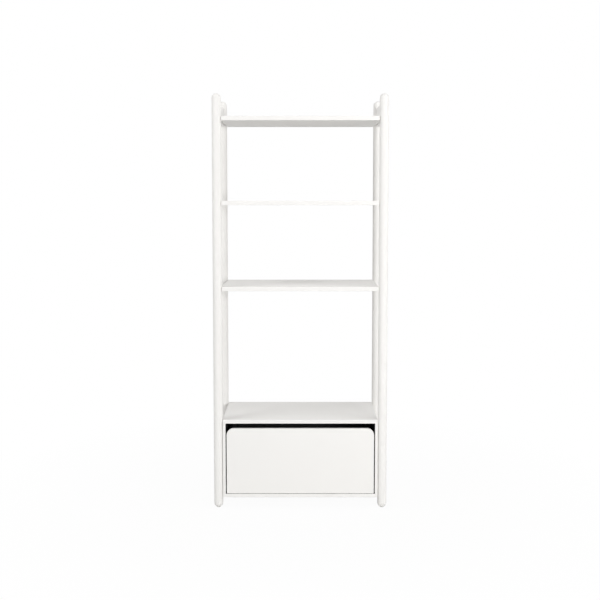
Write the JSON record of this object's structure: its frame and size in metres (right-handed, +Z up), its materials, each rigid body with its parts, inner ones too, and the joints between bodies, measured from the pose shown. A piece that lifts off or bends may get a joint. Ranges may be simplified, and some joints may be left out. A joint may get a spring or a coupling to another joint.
{
  "type": "bookcase with bottom drawer",
  "caption": "Open bookcase of round posts and flat shelves over a low cabinet with a full-width inset drawer on roller slides.",
  "frame": {"origin": "on the floor, midway between the four feet", "axes": "+Z up, -Y towards the front, +X to the right seen from the front"},
  "size_m": [0.728, 0.3498, 1.732],
  "materials": {
    "lacquer": "satin white lacquer",
    "back_board": "thin board, white outside and dark inside",
    "dark_board": "dark melamine",
    "beech": "plain beech",
    "slide_steel": "epoxy powder coat",
    "zinc": "bright zinc plate",
    "nylon": "moulded nylon",
    "glide": "moulded polyethylene"
  },
  "bodies": {
    "frame": {"barrel_nuts": "zinc", "cabinet_back": "back_board", "cabinet_bottom": "lacquer", "cabinet_dowels": "beech", "cabinet_side_left": "lacquer", "cabinet_side_right": "lacquer", "cabinet_top": "lacquer", "connector_bolts": "zinc", "foot_glides": "glide", "post_back_left": "lacquer", "post_back_right": "lacquer", "post_front_left": "lacquer", "post_front_right": "lacquer", "rail_bottom_left": "lacquer", "rail_bottom_right": "lacquer", "rail_dowels": "beech", "rail_top_left": "lacquer", "rail_top_right": "lacquer", "roller_pins_front": "zinc", "shelf_middle": "lacquer", "shelf_top": "lacquer", "shelf_upper": "lacquer", "slide_cabinet_left": "slide_steel", "slide_cabinet_right": "slide_steel", "slide_screws_cabinet": "zinc"},
    "drawer": {"drawer_back": "dark_board", "drawer_bottom": "dark_board", "drawer_dowels": "beech", "drawer_front": "lacquer", "drawer_screws": "zinc", "drawer_side_left": "dark_board", "drawer_side_right": "dark_board", "roller_pins_rear": "zinc", "slide_drawer_left": "slide_steel", "slide_drawer_right": "slide_steel", "slide_screws_drawer": "zinc"},
    "front_roller_left": {"roller_front_left": "nylon"},
    "front_roller_right": {"roller_front_right": "nylon"},
    "rear_roller_left": {"roller_rear_left": "nylon"},
    "rear_roller_right": {"roller_rear_right": "nylon"}
  },
  "joints": [
    {"name": "drawer_slide", "type": "slide", "parent": "frame", "child": "drawer", "axis": [0, -1, 0], "range_m": [0, 0.21]},
    {"name": "front_roller_left_turn", "type": "hinge", "parent": "frame", "child": "front_roller_left", "pos_m": [-0.30795, -0.138, 0.0772], "axis": [1, 0, 0], "range_deg": [0, 1270]},
    {"name": "front_roller_right_turn", "type": "hinge", "parent": "frame", "child": "front_roller_right", "pos_m": [0.30795, -0.138, 0.0772], "axis": [1, 0, 0], "range_deg": [0, 1270]},
    {"name": "rear_roller_left_turn", "type": "hinge", "parent": "drawer", "child": "rear_roller_left", "pos_m": [-0.30685, 0.116, 0.075], "axis": [1, 0, 0], "range_deg": [0, 1270]},
    {"name": "rear_roller_right_turn", "type": "hinge", "parent": "drawer", "child": "rear_roller_right", "pos_m": [0.30685, 0.116, 0.075], "axis": [1, 0, 0], "range_deg": [0, 1270]}
  ],
  "couplings": [
    {"joint": "front_roller_left_turn", "follows": "drawer_slide", "rad_per_m": 105.26},
    {"joint": "front_roller_right_turn", "follows": "drawer_slide", "rad_per_m": 105.26},
    {"joint": "rear_roller_left_turn", "follows": "drawer_slide", "rad_per_m": 105.26},
    {"joint": "rear_roller_right_turn", "follows": "drawer_slide", "rad_per_m": 105.26}
  ]
}
